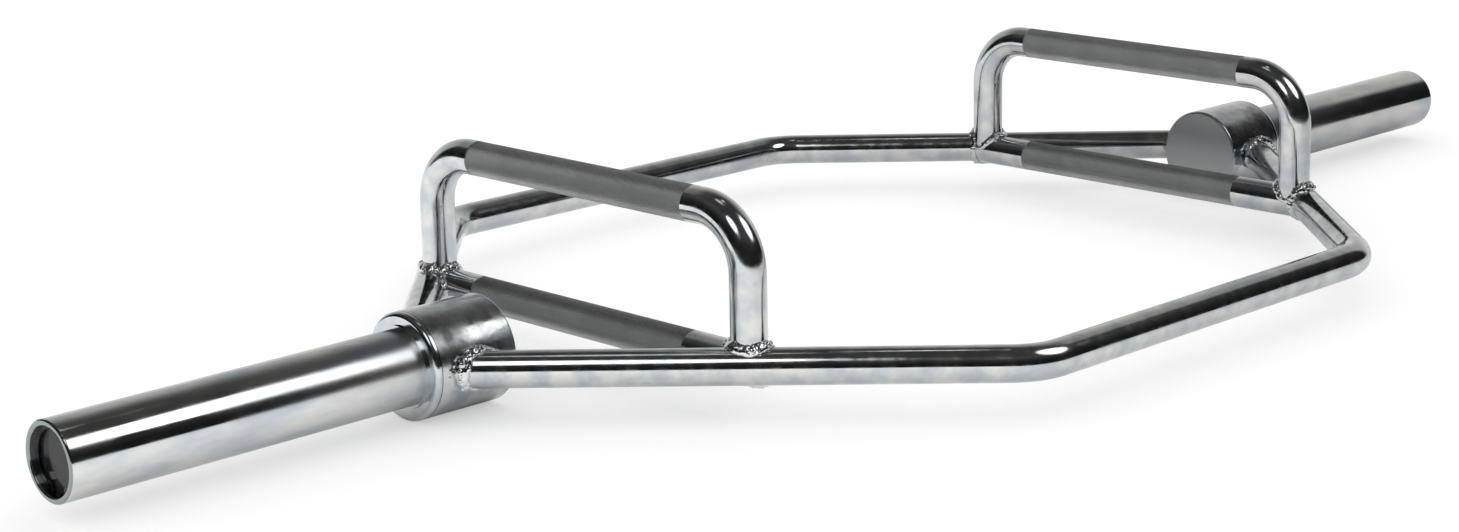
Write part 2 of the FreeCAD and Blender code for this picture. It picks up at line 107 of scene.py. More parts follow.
class NodeBoard:
    """A node tree under construction."""

    SPREAD_RANGE = (0.36, 0.64)
    BLEND_RANGE = (0.38, 0.62)

    def __init__(self, tree: NodeTree) -> None:
        """Start from an empty tree."""
        self.tree = tree
        tree.nodes.clear()

    def add(self, kind: str, **inputs: object) -> Node:
        """Add a node.

        Args:
            kind: The node's type name.
            inputs: Values for its sockets, or for its settings where no socket has that name.

        Returns:
            The new node.
        """
        node = self.tree.nodes.new(kind)
        for key, value in inputs.items():
            name = key.replace("_", " ").title()
            if name in node.inputs:
                node.inputs[name].default_value = value
            else:
                setattr(node, key, value)
        return node

    def join(self, source: NodeSocket, target: NodeSocket) -> None:
        """Link two sockets."""
        self.tree.links.new(source, target)

    def feed(self, value: NodeSocket | float | Colour, target: NodeSocket) -> None:
        """Give a socket a link or a plain value.

        Args:
            value: The socket to link, or the plain value.
            target: The socket that gets it.
        """
        if isinstance(value, NodeSocket):
            self.join(value, target)
        else:
            target.default_value = value

    def surface(self, shader: NodeSocket) -> None:
        """Let a shader be what the material shows."""
        self.join(shader, self.add("ShaderNodeOutputMaterial").inputs["Surface"])

    def coordinates(self) -> NodeSocket:
        """The piece's own coordinates, in metres."""
        return self.add("ShaderNodeTexCoord").outputs["Object"]

    def split(self, vector: NodeSocket) -> list[NodeSocket]:
        """Take a vector apart.

        Args:
            vector: The vector.

        Returns:
            Its parts along X, Y and Z.
        """
        node = self.add("ShaderNodeSeparateXYZ")
        self.join(vector, node.inputs["Vector"])
        return list(node.outputs)

    def work_out(self, operation: str, *values: NodeSocket | float) -> NodeSocket:
        """Work out a number.

        Args:
            operation: The name of the sum.
            values: Sockets or plain numbers, in the node's order.

        Returns:
            The result.
        """
        node = self.add("ShaderNodeMath", operation=operation)
        for value, target in zip(values, node.inputs):
            self.feed(value, target)
        return node.outputs["Value"]

    def rescale(
        self, value: NodeSocket, start: float, end: float, low: float = 0, high: float = 1
    ) -> NodeSocket:
        """Carry one range of numbers over to another and hold the ends.

        Args:
            value: The number.
            start: Where the first range starts.
            end: Where it ends.
            low: The result at the start.
            high: The result at the end.

        Returns:
            The new number.
        """
        node = self.add("ShaderNodeMapRange", from_min=start, from_max=end, to_min=low, to_max=high)
        self.join(value, node.inputs["Value"])
        return node.outputs["Result"]

    def noise(self, where: NodeSocket, scale: float, detail: float) -> NodeSocket:
        """A cloudy pattern.

        Args:
            where: The coordinates that it is read at.
            scale: Clouds to the metre.
            detail: Finer layers on top.

        Returns:
            The pattern, from 0 to 1.
        """
        node = self.add("ShaderNodeTexNoise", scale=scale, detail=detail)
        self.join(where, node.inputs["Vector"])
        return node.outputs["Fac"]

    def spread(self, pattern: NodeSocket, low: float, high: float) -> NodeSocket:
        """Stretch a pattern's middle range over a range of numbers."""
        return self.rescale(pattern, *self.SPREAD_RANGE, low, high)

    def blend(self, pattern: NodeSocket, dark: Colour, bright: Colour) -> NodeSocket:
        """Turn a pattern into a colour.

        Args:
            pattern: The pattern, from 0 to 1.
            dark: The colour at its dark places.
            bright: The colour at its bright places.

        Returns:
            The colour.
        """
        ramp = self.add("ShaderNodeValToRGB")
        for stop, position, colour in zip(ramp.color_ramp.elements, self.BLEND_RANGE, (dark, bright)):
            stop.position = position
            stop.color = colour
        self.join(pattern, ramp.inputs["Fac"])
        return ramp.outputs["Color"]

    def bump(self, height: NodeSocket, depth: float, under: NodeSocket | None = None) -> NodeSocket:
        """Let a pattern raise the surface.

        Args:
            height: The pattern, from 0 to 1.
            depth: How far it raises the surface, in millimetres.
            under: The normal of a coarser bump below this one.

        Returns:
            The new normal.
        """
        node = self.add("ShaderNodeBump", strength=1.0, distance=depth * MM)
        self.join(height, node.inputs["Height"])
        if under is not None:
            self.join(under, node.inputs["Normal"])
        return node.outputs["Normal"]

    def along_bar(self, place: NodeSocket, start: float, end: float) -> NodeSocket:
        """Go from 0 to 1 between two distances from the bar's middle, in metres."""
        x, _, _ = self.split(place)
        return self.rescale(self.work_out("ABSOLUTE", x), start, end)

    def mix(self, share: NodeSocket, first: float, second: NodeSocket) -> NodeSocket:
        """Go from one number to another.

        Args:
            share: 0 for the first number and 1 for the second.
            first: The first number.
            second: The second number.

        Returns:
            The mixed number.
        """
        node = self.add("ShaderNodeMix", data_type="FLOAT")
        for value, name in ((share, "Factor"), (first, "A"), (second, "B")):
            self.feed(value, node.inputs[name])
        return node.outputs["Result"]

    def mix_colour(self, share: NodeSocket, first: NodeSocket | Colour, second: NodeSocket) -> NodeSocket:
        """Go from one colour to another.

        Args:
            share: 0 for the first colour and 1 for the second.
            first: The first colour.
            second: The second colour.

        Returns:
            The mixed colour.
        """
        node = self.add("ShaderNodeMix", data_type="RGBA")
        self.join(share, node.inputs["Factor"])
        for value, target in zip((first, second), (s for s in node.inputs if s.type == "RGBA")):
            self.feed(value, target)
        return next(socket for socket in node.outputs if socket.type == "RGBA")


def new_material(name: str) -> tuple[Material, NodeBoard]:
    """Start a node material.

    Args:
        name: Its name.

    Returns:
        The material and its empty board.
    """
    made = bpy.data.materials.new(name)
    made.use_nodes = True
    return made, NodeBoard(made.node_tree)


@dataclass(frozen=True)
class CutFace:
    """An end face that was cut before plating, at a distance from the bar's middle, in metres."""

    distance: float
    faces_middle: bool
    colour: Colour
    roughness: float
    edge: float = 0.0002

    def freshness(self, board: NodeBoard, place: NodeSocket) -> NodeSocket:
        """How much of the plain plating shows, from 0 on the face to 1 beside it."""
        edge = self.edge if self.faces_middle else -self.edge
        return board.along_bar(place, self.distance - edge, self.distance + edge)


@dataclass(frozen=True)
class HeatMark:
    """Painted shade: a dull, dark patch beside each hub seam, which dims the lamp's reflection on the hub.

    The middle is that of the patch at the right rear, and the others mirror it. Lengths are in metres. The
    patch is dark up to one share of its reach and has faded away at the other.
    """

    middle: tuple[float, float, float]
    reach: float
    colour: Colour
    roughness: float
    ragged_scale: float = 150
    ragged_detail: float = 4
    dark_share: float = 0.6
    fading_share: float = 1.5

    def freshness(self, board: NodeBoard, place: NodeSocket) -> NodeSocket:
        """Work out how much of the plain plating shows.

        Args:
            board: The material's nodes.
            place: The piece's own coordinates.

        Returns:
            0 in the mark, and 1 past its ragged edge.
        """
        folded = board.add("ShaderNodeVectorMath", operation="ABSOLUTE")
        board.join(place, folded.inputs[0])
        away = board.add("ShaderNodeVectorMath", operation="DISTANCE")
        board.join(folded.outputs["Vector"], away.inputs[0])
        away.inputs[1].default_value = self.middle
        pattern = board.noise(place, self.ragged_scale, self.ragged_detail)
        ragged = board.work_out("MULTIPLY_ADD", pattern, self.reach, away.outputs["Value"])
        return board.rescale(ragged, self.reach * self.dark_share, self.reach * self.fading_share)


@dataclass(frozen=True)
class WornZone:
    """A stretch that plates have rubbed to a satin, from worn to fresh, in metres from the bar's middle."""

    worn: float
    fresh: float
    roughness: float
    colour: Colour | None = None

    def freshness(self, board: NodeBoard, place: NodeSocket) -> NodeSocket:
        """How much of the plain plating shows, from 0 where it is worn to 1 where it is fresh."""
        return board.along_bar(place, self.worn, self.fresh)


@dataclass(frozen=True)
class Finish(ABC):
    """A surface finish with cloudy colour and uneven gloss, which becomes a material on its first use."""

    name: str
    dark: Colour
    bright: Colour
    gloss: tuple[float, float]

    def material(self) -> Material:
        """Make the finish's material, or find it again.

        Returns:
            The node material.
        """
        found = bpy.data.materials.get(self.name)
        if found:
            return found
        made, board = new_material(self.name)
        board.surface(self.shader(board).outputs["BSDF"])
        return made

    @abstractmethod
    def shader(self, board: NodeBoard) -> Node:
        """Set up the shader of this kind of finish on a material's board."""


@dataclass(frozen=True)
class Metal(Finish):
    """A plated or bare metal with a slightly wavy surface.

    Scales count clouds to the metre, depths are in millimetres, and stretch draws the patterns out along X.
    """

    cloud_scale: float
    wave_scale: float
    wave_depth: float
    grain_depth: float
    stretch: float = 1
    zones: tuple[CutFace | HeatMark | WornZone, ...] = ()
    cloud_detail: float = 5
    gloss_fineness: float = 2.3
    gloss_detail: float = 3
    wave_detail: float = 2
    grain_scale: float = 900
    grain_detail: float = 3

    def shader(self, board: NodeBoard) -> Node:
        """Set up the metal.

        Args:
            board: The material's nodes.

        Returns:
            The shader.
        """
        place = board.coordinates()
        drawn_out = board.add("ShaderNodeMapping", scale=(1 / self.stretch, 1, 1))
        board.join(place, drawn_out.inputs["Vector"])
        where = drawn_out.outputs["Vector"]
        clouds = board.noise(where, self.cloud_scale, self.cloud_detail)
        patches = board.noise(where, self.cloud_scale * self.gloss_fineness, self.gloss_detail)
        colour = board.blend(clouds, self.dark, self.bright)
        roughness = board.spread(patches, *self.gloss)
        # Each zone changes the plating: cut faces, rubbed satin, and painted shade beside the hub seams.
        for zone in self.zones:
            share = zone.freshness(board, place)
            roughness = board.mix(share, zone.roughness, roughness)
            if zone.colour:
                colour = board.mix_colour(share, zone.colour, colour)
        wave = board.bump(board.noise(where, self.wave_scale, self.wave_detail), self.wave_depth)
        grain = board.bump(board.noise(where, self.grain_scale, self.grain_detail), self.grain_depth, wave)
        shader = board.add("ShaderNodeBsdfPrincipled", metallic=1.0)
        for source, name in ((colour, "Base Color"), (roughness, "Roughness"), (grain, "Normal")):
            board.join(source, shader.inputs[name])
        return shader


@dataclass(frozen=True)
class GlossyPlastic(Finish):
    """A dark moulded plastic with faint scuffs, with scales and depths as a metal's."""

    sheen: float
    cloud_scale: float = 120
    cloud_detail: float = 4
    scuff_scale: float = 260
    scuff_detail: float = 5
    grain_scale: float = 1400
    grain_detail: float = 2
    grain_depth: float = 0.004

    def shader(self, board: NodeBoard) -> Node:
        """Set up the plastic.

        Args:
            board: The material's nodes.

        Returns:
            The shader.
        """
        where = board.coordinates()
        colour = board.blend(board.noise(where, self.cloud_scale, self.cloud_detail), self.dark, self.bright)
        roughness = board.spread(board.noise(where, self.scuff_scale, self.scuff_detail), *self.gloss)
        grain = board.bump(board.noise(where, self.grain_scale, self.grain_detail), self.grain_depth)
        shader = board.add("ShaderNodeBsdfPrincipled", metallic=0.0)
        shader.inputs["Specular IOR Level"].default_value = self.sheen
        for source, name in ((colour, "Base Color"), (roughness, "Roughness"), (grain, "Normal")):
            board.join(source, shader.inputs[name])
        return shader


PLATING = Metal(
    "bright_plating",
    dark=(0.51, 0.545, 0.575, 1),
    bright=(0.70, 0.70, 0.68, 1),
    gloss=(0.08, 0.18),
    cloud_scale=60,
    wave_scale=45,
    wave_depth=0.03,
    grain_depth=0.002,
)
FLANGE_PLATING = Metal(
    "flange_plating",
    dark=(0.52, 0.56, 0.60, 1),
    bright=(0.72, 0.72, 0.70, 1),
    gloss=(0.08, 0.18),
    cloud_scale=50,
    wave_scale=90,
    wave_depth=0.02,
    grain_depth=0.002,
)
SLEEVE_PLATING = Metal(
    "sleeve_plating",
    dark=(0.52, 0.56, 0.60, 1),
    bright=(0.74, 0.735, 0.71, 1),
    gloss=(0.07, 0.16),
    cloud_scale=50,
    wave_scale=90,
    wave_depth=0.02,
    grain_depth=0.002,
    stretch=3,
    zones=(
        # The mouth's end face: its cut finish, painted darker and greener with painted shade.
        CutFace(0.6992, faces_middle=False, colour=(0.27, 0.30, 0.28, 1), roughness=0.14),
        WornZone(worn=0.46, fresh=0.61, roughness=0.30),
    ),
)
HUB_PLATING = Metal(
    "hub_plating",
    dark=(0.46, 0.50, 0.54, 1),
    bright=(0.70, 0.70, 0.68, 1),
    gloss=(0.13, 0.26),
    cloud_scale=60,
    wave_scale=45,
    wave_depth=0.14,
    grain_depth=0.002,
    zones=(
        CutFace(0.3846, faces_middle=True, colour=(0.47, 0.48, 0.50, 1), roughness=0.40),
        # Painted shade beside the hub seams: a dark, dull patch that dims the lamp's reflection there.
        HeatMark((0.434, 0.0275, 0.056), reach=0.024, colour=(0.12, 0.125, 0.135, 1), roughness=0.36),
    ),
)
KNURL_PLATING = Metal(
    "knurl_plating",
    dark=(0.46, 0.47, 0.47, 1),
    bright=(0.51, 0.52, 0.52, 1),
    gloss=(0.48, 0.54),
    cloud_scale=40,
    wave_scale=60,
    wave_depth=0.0,
    grain_depth=0.0,
)
WELD_PLATING = Metal(
    "weld_plating",
    dark=(0.66, 0.68, 0.70, 1),
    bright=(0.80, 0.81, 0.82, 1),
    gloss=(0.05, 0.14),
    cloud_scale=90,
    wave_scale=520,
    wave_depth=0.30,
    grain_depth=0.004,
)
BARE_STEEL = Metal(
    "bare_steel_turned",
    dark=(0.38, 0.37, 0.36, 1),
    bright=(0.50, 0.49, 0.48, 1),
    gloss=(0.22, 0.34),
    cloud_scale=40,
    wave_scale=60,
    wave_depth=0.01,
    grain_depth=0.003,
)
SPRING_STEEL = Metal(
    "blackened_spring_steel",
    dark=(0.030, 0.029, 0.028, 1),
    bright=(0.060, 0.058, 0.055, 1),
    gloss=(0.28, 0.45),
    cloud_scale=120,
    wave_scale=90,
    wave_depth=0.01,
    grain_depth=0.003,
)
BRONZE = Metal(
    "bushing_bronze",
    dark=(0.44, 0.26, 0.11, 1),
    bright=(0.58, 0.36, 0.17, 1),
    gloss=(0.24, 0.36),
    cloud_scale=60,
    wave_scale=60,
    wave_depth=0.01,
    grain_depth=0.003,
)
END_DISC_BLACK = GlossyPlastic(
    "end_disc_black",
    dark=(0.010, 0.010, 0.011, 1),
    bright=(0.022, 0.022, 0.024, 1),
    gloss=(0.12, 0.24),
    sheen=0.25,
)


def corners(edges: Iterable[BMEdge]) -> list[BMVert]:
    """The corners of some edges, each once."""
    return list({vert for edge in edges for vert in edge.verts})


class Workpiece:
    """A mesh under construction, in millimetres in the part's own frame."""

    MERGE_DISTANCE = 0.001
    MIRROR_MERGE_DISTANCE = 0.01

    def __init__(self) -> None:
        """Start with no material."""
        self.bm = bmesh.new()

    def ring(self, centre: Vector, along: Vector, radius: float, segments: int) -> list[BMEdge]:
        """Start a round bar.

        Args:
            centre: The middle of its end.
            along: The direction in which it sets out.
            radius: The bar's radius.
            segments: Sides round it.

        Returns:
            The edges of its open end.
        """
        place = Matrix.Translation(centre) @ along.to_track_quat("Z", "Y").to_matrix().to_4x4()
        made = bmesh.ops.create_circle(self.bm, cap_ends=True, segments=segments, radius=radius, matrix=place)
        return list({edge for vert in made["verts"] for edge in vert.link_edges})

    def draw(self, loop: list[BMEdge], offset: Vector) -> list[BMEdge]:
        """Carry a bar straight on.

        Args:
            loop: The edges of its open end.
            offset: The way to its new end.

        Returns:
            The edges of the new end.
        """
        made = bmesh.ops.extrude_edge_only(self.bm, edges=loop)["geom"]
        fresh = [item for item in made if isinstance(item, BMVert)]
        bmesh.ops.translate(self.bm, vec=offset, verts=fresh)
        known = set(fresh)
        return [item for item in made if isinstance(item, BMEdge) and known.issuperset(item.verts)]

    def resize(self, loop: list[BMEdge], centre: Vector, ratio: float) -> list[BMEdge]:
        """Step a bar to another thickness, square to its run.

        Args:
            loop: The edges of its open end.
            centre: The middle of that end.
            ratio: New radius to old radius.

        Returns:
            The edges of the new end.
        """
        stepped = self.draw(loop, Vector())
        space = Matrix.Translation(-centre)
        bmesh.ops.scale(self.bm, vec=(ratio, ratio, ratio), space=space, verts=corners(stepped))
        return stepped

    def bend(
        self, loop: list[BMEdge], centre: Vector, axis: Vector, angle: float, steps: int
    ) -> list[BMEdge]:
        """Carry a bar round a bend.

        Args:
            loop: The edges of its open end.
            centre: The middle of the bend.
            axis: The line that it turns about.
            angle: How far it turns.
            steps: Parts of the bend.

        Returns:
            The edges of the new end.
        """
        made = bmesh.ops.spin(
            self.bm, geom=loop, cent=centre, axis=axis, angle=angle, steps=steps, use_merge=False
        )
        return [item for item in made["geom_last"] if isinstance(item, BMEdge)]

    def close(self, loop: list[BMEdge]) -> None:
        """Put a flat end on a bar."""
        bmesh.ops.contextual_create(self.bm, geom=loop)

    def knurl(
        self, loop: list[BMEdge], centre: Vector, along: Vector, length: float, row: float
    ) -> list[BMEdge]:
        """Carry a bar on with rows of flat diamonds, which point_diamonds raises later.

        Args:
            loop: The edges of its open end.
            centre: The middle of that end.
            along: The bar's direction.
            length: How far the knurl goes.
            row: Half of a diamond's length.

        Returns:
            The edges of the new end.
        """
        rows = round(length / row)
        half_diamond = math.pi / len(loop)
        known = set(self.bm.faces)
        between: list[BMEdge] = []
        for index in range(rows):
            loop = self.draw(loop, along * (length / rows))
            turn = Matrix.Rotation(half_diamond if index % 2 == 0 else -half_diamond, 3, along)
            bmesh.ops.rotate(self.bm, cent=centre, matrix=turn, verts=corners(loop))
            if index < rows - 1:
                between.extend(loop)
        zone = [face for face in self.bm.faces if face not in known]
        for face in zone:
            face.material_index = Skin.KNURLED
        bmesh.ops.triangulate(self.bm, faces=zone, quad_method="SHORT_EDGE")
        bmesh.ops.dissolve_edges(self.bm, edges=between, use_verts=False, use_face_split=False)
        return loop

    def point_diamonds(self, height: float) -> None:
        """Raise the middle of every knurl diamond to a point.

        Args:
            height: How far the points stand out.
        """
        bmesh.ops.recalc_face_normals(self.bm, faces=self.bm.faces)
        knurled = [face for face in self.bm.faces if face.material_index == Skin.KNURLED]
        diamonds = [face for face in knurled if len(face.verts) == 4]
        bmesh.ops.poke(self.bm, faces=diamonds, offset=height, center_mode="MEAN")

    def mirror_along_bar(self) -> None:
        """Add the same shape at the other end of the bar."""
        geometry = [*self.bm.verts, *self.bm.edges, *self.bm.faces]
        bmesh.ops.mirror(self.bm, geom=geometry, axis="X", merge_dist=self.MIRROR_MERGE_DISTANCE)

    def lump(self, centre: Vector, sizes: Vector, turn: Matrix) -> None:
        """Add a small rounded lump of weld metal."""
        place = Matrix.Translation(centre) @ turn @ Matrix.Diagonal(sizes).to_4x4()
        bmesh.ops.create_icosphere(self.bm, subdivisions=2, radius=1, matrix=place)

    def finish(self, name: str, finishes: Iterable[Finish], sharp: float = 35) -> Object:
        """Turn the workpiece into a piece of the scene.

        Args:
            name: The piece's name.
            finishes: Its finishes, in the order of the faces' material numbers.
            sharp: Edges that turn by more degrees than this stay sharp.

        Returns:
            The piece.
        """
        bmesh.ops.remove_doubles(self.bm, verts=self.bm.verts, dist=self.MERGE_DISTANCE)
        bmesh.ops.recalc_face_normals(self.bm, faces=self.bm.faces)
        bmesh.ops.scale(self.bm, vec=(MM, MM, MM), verts=self.bm.verts)
        mesh = bpy.data.meshes.new(name)
        self.bm.to_mesh(mesh)
        self.bm.free()
        for finish in finishes:
            mesh.materials.append(finish.material())
        mesh.polygons.foreach_set("use_smooth", [True] * len(mesh.polygons))
        mesh.set_sharp_from_angle(angle=math.radians(sharp))
        piece = bpy.data.objects.new(name, mesh)
        bpy.context.scene.collection.objects.link(piece)
        return piece


@dataclass(frozen=True)
class BarSizes:
    """Sizes that the sub-assemblies share, in millimetres. Rails, grips and handles are round rods."""

    rod_radius: float = 12
    rod_height: float = 33.4
    rod_sides: int = 48
    bend_steps: int = 24
    meeting_x: float = 450
    corner_x: float = 176
    rail_half_width: float = 289
    grip_x: float = 295
    handle_half_span: float = 152.99
    hub_radius: float = 35
    axis_height: float = 35

    def rail_direction(self, side: Side, run: Run) -> Vector:
        """The way from the hub to the corner along a slanted run."""
        inward = (self.corner_x - self.meeting_x) * side.value
        return Vector((inward, self.rail_half_width * run.value, 0)).normalized()

    def meeting(self, side: Side) -> Vector:
        """The point where the middle lines of the slanted runs meet."""
        return Vector((self.meeting_x * side.value, 0, self.rod_height))


SIZES = BarSizes()


@dataclass
class RailPair:
    """The two bent rails, with sizes in millimetres."""

    bend_radius: float = 45
    depth_in_hub: float = 14

    def build(self) -> None:
        """Make and dress both rails."""
        for run in Run:
            piece = self.rail(run)
            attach(piece, "frame")
            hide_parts(f"{run.label}_rail")
            LOG.info("made %s", piece.name)

    def rail(self, run: Run) -> Object:
        """Bend one rail: half of it, from the middle to the hub, and its mirror image.

        Args:
            run: Which rail.

        Returns:
            The piece.
        """
        corner = Vector((SIZES.corner_x, SIZES.rail_half_width * run.value, SIZES.rod_height))
        towards_hub = -SIZES.rail_direction(Side.RIGHT, run)
        turn = ALONG_BAR.angle(towards_hub)
        setback = self.bend_radius * math.tan(turn / 2)
        bend_start = corner - ALONG_BAR * setback
        bend_centre = bend_start - Vector((0, self.bend_radius * run.value, 0))
        short_of_meeting = SIZES.hub_radius + SIZES.rod_radius - self.depth_in_hub
        hub_end = SIZES.meeting(Side.RIGHT) - towards_hub * short_of_meeting
        work = Workpiece()
        middle = Vector((0, corner.y, corner.z))
        loop = work.ring(middle, ALONG_BAR, SIZES.rod_radius, SIZES.rod_sides)
        bmesh.ops.delete(work.bm, geom=list(work.bm.faces), context="FACES_ONLY")
        loop = work.draw(loop, Vector((bend_start.x, 0, 0)))
        loop = work.bend(loop, bend_centre, UP, -turn * run.value, SIZES.bend_steps)
        loop = work.draw(loop, hub_end - (corner + towards_hub * setback))
        work.close(loop)
        work.mirror_along_bar()
        return work.finish(f"{run.label}_rail_bar", [PLATING])


@dataclass
class GripSet:
    """The lower grip and the raised handle of one side, with their knurled hand zones.

    Sizes are in millimetres. The zones lie between two places along Y, and the knurl's points stay inside the
    plain bar's radius by the knurl's room.
    """

    side: Side
    grip_half_length: float = 163.5
    grip_zone: tuple[float, float] = (-103, 107)
    handle_height: float = 128.4
    handle_bend_radius: float = 38
    handle_zone: tuple[float, float] = (-105.5, 106)
    knurl_depth: float = 0.55
    knurl_row: float = 1.36
    knurl_room: float = 0.01

    def build(self) -> None:
        """Make and dress the grip and the handle."""
        for name, piece in (("lower_grip", self.lower_grip()), ("raised_handle", self.raised_handle())):
            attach(piece, "frame")
            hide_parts(f"{self.side.label}_{name}")
            LOG.info("made %s", piece.name)

    def hand_zone(self, work: Workpiece, loop: list[BMEdge], start: Vector, length: float) -> list[BMEdge]:
        """Carry a bar along Y through its knurled zone.

        Args:
            work: The workpiece.
            loop: The edges of the bar's open end.
            start: The middle of that end.
            length: The zone's length.

        Returns:
            The edges of the zone's far end, at the bar's full thickness again.
        """
        root = SIZES.rod_radius - self.knurl_depth - self.knurl_room
        loop = work.resize(loop, start, root / SIZES.rod_radius)
        loop = work.knurl(loop, start, ACROSS_BAR, length, self.knurl_row)
        loop = work.resize(loop, start + ACROSS_BAR * length, SIZES.rod_radius / root)
        for edge in loop:
            for face in edge.link_faces:
                face.material_index = Skin.PLAIN
        return loop

    def lower_grip(self) -> Object:
        """The straight bar between the rails.

        Returns:
            The piece.
        """
        x, z = SIZES.grip_x * self.side.value, SIZES.rod_height
        first, last = self.grip_zone
        work = Workpiece()
        end = Vector((x, -self.grip_half_length, z))
        loop = work.ring(end, ACROSS_BAR, SIZES.rod_radius, SIZES.rod_sides)
        loop = work.draw(loop, Vector((0, first + self.grip_half_length, 0)))
        loop = self.hand_zone(work, loop, Vector((x, first, z)), last - first)
        loop = work.draw(loop, Vector((0, self.grip_half_length - last, 0)))
        work.close(loop)
        work.point_diamonds(self.knurl_depth)
        return work.finish(f"{self.side.label}_lower_grip_bar", [PLATING, KNURL_PLATING])

    def raised_handle(self) -> Object:
        """The U-bent bar above the grip.

        Returns:
            The piece.
        """
        x, foot, top = SIZES.grip_x * self.side.value, SIZES.rod_height, self.handle_height
        radius = self.handle_bend_radius
        first, last = self.handle_zone
        straight = SIZES.handle_half_span - radius
        quarter = -math.pi / 2
        work = Workpiece()
        end = Vector((x, -SIZES.handle_half_span, foot))
        loop = work.ring(end, UP, SIZES.rod_radius, SIZES.rod_sides)
        loop = work.draw(loop, UP * (top - radius - foot))
        loop = work.bend(loop, Vector((x, -straight, top - radius)), ALONG_BAR, quarter, SIZES.bend_steps)
        loop = work.draw(loop, Vector((0, first + straight, 0)))
        loop = self.hand_zone(work, loop, Vector((x, first, top)), last - first)
        loop = work.draw(loop, Vector((0, straight - last, 0)))
        loop = work.bend(loop, Vector((x, straight, top - radius)), ALONG_BAR, quarter, SIZES.bend_steps)
        loop = work.draw(loop, -UP * (top - radius - foot))
        work.close(loop)
        work.point_diamonds(self.knurl_depth)
        return work.finish(f"{self.side.label}_raised_handle_bar", [PLATING, KNURL_PLATING])


@dataclass(frozen=True)
class SeamPoint:
    """A place on a weld seam, the way out of the corner there and how full the bead is."""

    place: Vector
    outward: Vector
    fullness: float = 1


@dataclass
class WeldSet:
    """The weld beads of one end of the bar: rows of lumps with crumples, which are smaller lumps, on them.

    Lumps, spacing, shift and voxel are in millimetres. The fuller and thinner values change how full a bead
    is along its seam. The handle's two shares are of the bar's radius. Each range is one that a share of a
    lump's or a crumple's size is drawn from. A crumple's size and place are shares of its lump's size.
    """

    side: Side
    lump_spacing: float = 1.6
    seam_steps: int = 720
    hub_lump: float = 4.8
    hub_shift: float = 3.5
    hub_fullness: float = 0.78
    hub_fuller_outside: float = 0.45
    hub_thinner_below: float = 0.42
    grip_lump: float = 2.8
    handle_lump: float = 5.0
    handle_thinner_aside: float = 0.6
    handle_side_share: float = 0.9
    handle_reach_share: float = 0.98
    lump_range: tuple[float, float] = (0.9, 1.08)
    width_range: tuple[float, float] = (0.8, 1.1)
    height_range: tuple[float, float] = (0.75, 0.95)
    crumples: int = 2
    crumple_size: float = 0.30
    crumple_range: tuple[float, float] = (0.7, 1.4)
    crumple_aside: float = 0.6
    crumple_out: float = 0.62
    crumple_height: float = 0.8
    voxel: float = 0.5
    sharp_angle: float = 60

    def build(self) -> None:
        """Make and dress the beads at the hub, the grip and the handle."""
        seams = {
            "hub_welds": ([self.hub_seam(run) for run in Run], self.hub_lump),
            "grip_welds": ([self.grip_seam(run) for run in Run], self.grip_lump),
            "handle_welds": ([self.handle_seam(run) for run in Run], self.handle_lump),
        }
        for name, (lines, lump) in seams.items():
            node = f"{self.side.label}_{name}"
            piece = self.beads(f"{node}_beads", lines, lump)
            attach(piece, "frame")
            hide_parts(node)
            LOG.info("made %s", piece.name)

    def seam(self, point_at: Callable[[float], SeamPoint]) -> list[SeamPoint]:
        """Walk round a closed seam.

        Args:
            point_at: The seam's point at an angle.

        Returns:
            Points at an even spacing.
        """
        fine = [point_at(2 * math.pi * step / self.seam_steps) for step in range(self.seam_steps)]
        picked, walked = [fine[0]], 0.0
        for before, after in zip(fine, fine[1:]):
            walked += (after.place - before.place).length
            if walked >= self.lump_spacing:
                picked.append(after)
                walked = 0.0
        return picked

    def hub_seam(self, run: Run) -> list[SeamPoint]:
        """The seam between a rail and the hub.

        Args:
            run: Which rail.

        Returns:
            The seam's points.
        """
        along = SIZES.rail_direction(self.side, run)
        across = UP.cross(along)
        axis_point = SIZES.meeting(self.side)

        def point_at(angle: float) -> SeamPoint:
            """The seam's point at an angle round the rail.

            Args:
                angle: The angle, from the rail's side.

            Returns:
                The point.
            """
            normal = across * math.cos(angle) + UP * math.sin(angle)
            base = axis_point + normal * SIZES.rod_radius
            rise = base.z - SIZES.axis_height
            reach = math.sqrt(SIZES.hub_radius**2 - rise**2) * run.value
            place = base + along * ((reach - base.y) / along.y)
            hub_normal = Vector((0, place.y, rise)).normalized()
            fuller = self.hub_fuller_outside * normal.x * self.side.value
            thinner = self.hub_thinner_below * min(0, normal.z)
            outward = (normal + hub_normal).normalized()
            return SeamPoint(place + along * self.hub_shift, outward, self.hub_fullness + fuller + thinner)

        return self.seam(point_at)

    def grip_seam(self, run: Run) -> list[SeamPoint]:
        """The seam between the lower grip and a rail.

        Args:
            run: Which rail.

        Returns:
            The seam's points.
        """
        along = SIZES.rail_direction(self.side, run)
        across = UP.cross(along)
        if across.y * run.value > 0:
            across = -across
        axis_point = SIZES.meeting(self.side)

        def point_at(angle: float) -> SeamPoint:
            """The seam's point at an angle round the grip.

            Args:
                angle: The angle, from the grip's side.

            Returns:
                The point.
            """
            normal = Vector((math.cos(angle), 0, math.sin(angle)))
            x = SIZES.grip_x * self.side.value + SIZES.rod_radius * normal.x
            reach = SIZES.rod_radius * abs(normal.x)
            on_axis = axis_point + along * ((x - axis_point.x) / along.x)
            place = on_axis + Vector((0, reach / across.y, 0))
            place.z = SIZES.rod_height + SIZES.rod_radius * normal.z
            rail_normal = (across * abs(normal.x) + UP * normal.z).normalized()
            return SeamPoint(place, (normal + rail_normal).normalized())

        return self.seam(point_at)

    def handle_seam(self, run: Run) -> list[SeamPoint]:
        """The seam round an upright's foot, where it stands on the rail and the grip.

        Args:
            run: Which upright.

        Returns:
            The seam's points.
        """
        along = SIZES.rail_direction(self.side, run)
        across = UP.cross(along)
        axis_point = SIZES.meeting(self.side)
        foot = Vector((SIZES.grip_x * self.side.value, SIZES.handle_half_span * run.value, 0))
        radius = SIZES.rod_radius

